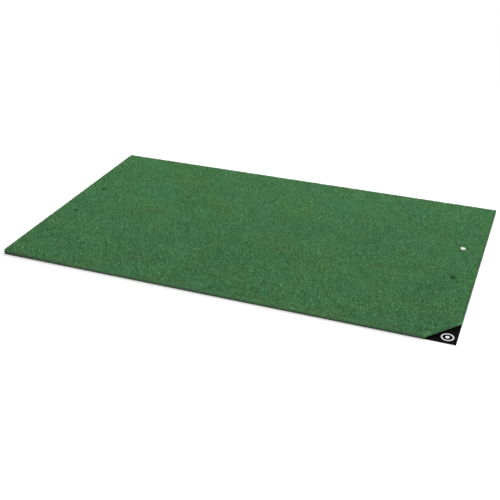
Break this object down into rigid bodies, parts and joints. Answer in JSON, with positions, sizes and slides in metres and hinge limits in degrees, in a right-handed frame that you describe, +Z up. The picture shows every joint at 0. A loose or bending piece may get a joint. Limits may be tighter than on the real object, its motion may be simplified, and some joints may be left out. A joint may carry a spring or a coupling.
{
  "type": "golf hitting mat",
  "caption": "Flat rectangular turf hitting mat on a foam pad and rubber base, with punched tee holes near both short ends, a thin black corner plate and a white rubber tee.",
  "frame": {"origin": "centre of the underside, where the mat rests on the floor", "axes": "+X along the long side, +Y along the short side, +Z up; the corner plate is at +X -Y and the tee at +X +Y"},
  "size_m": [1.524, 0.9144, 0.0215],
  "materials": {
    "base_rubber": "matte",
    "glue_film": "satin",
    "foam": "matte",
    "latex_coat": "matte",
    "woven_backing": "matte",
    "turf": "matte",
    "plate_rubber": "satin",
    "mark_white": "matte",
    "tee_rubber": "satin"
  },
  "bodies": {
    "mat": {"base_sheet": "base_rubber", "base_adhesive": "glue_film", "foam_pad": "foam", "turf_adhesive": "glue_film", "secondary_backing": "latex_coat", "primary_backing": "woven_backing", "turf_pile": "turf", "badge_adhesive": "glue_film", "corner_badge": "plate_rubber", "badge_emblem": "mark_white"},
    "tee_base": {"tee_base": "tee_rubber"},
    "tee_stem": {"tee_stem": "tee_rubber"}
  },
  "joints": [
    {"name": "tee_slide", "type": "slide", "parent": "mat", "child": "tee_base", "axis": [0, 0, 1], "range_m": [-0.024, 0]},
    {"name": "tee_lean", "type": "hinge", "parent": "tee_base", "child": "tee_stem", "pos_m": [0.694, 0.103, 0.0096], "axis": [1, 0, 0], "range_deg": [-15, 15], "stiffness_Nm_per_rad": 0.2}
  ]
}
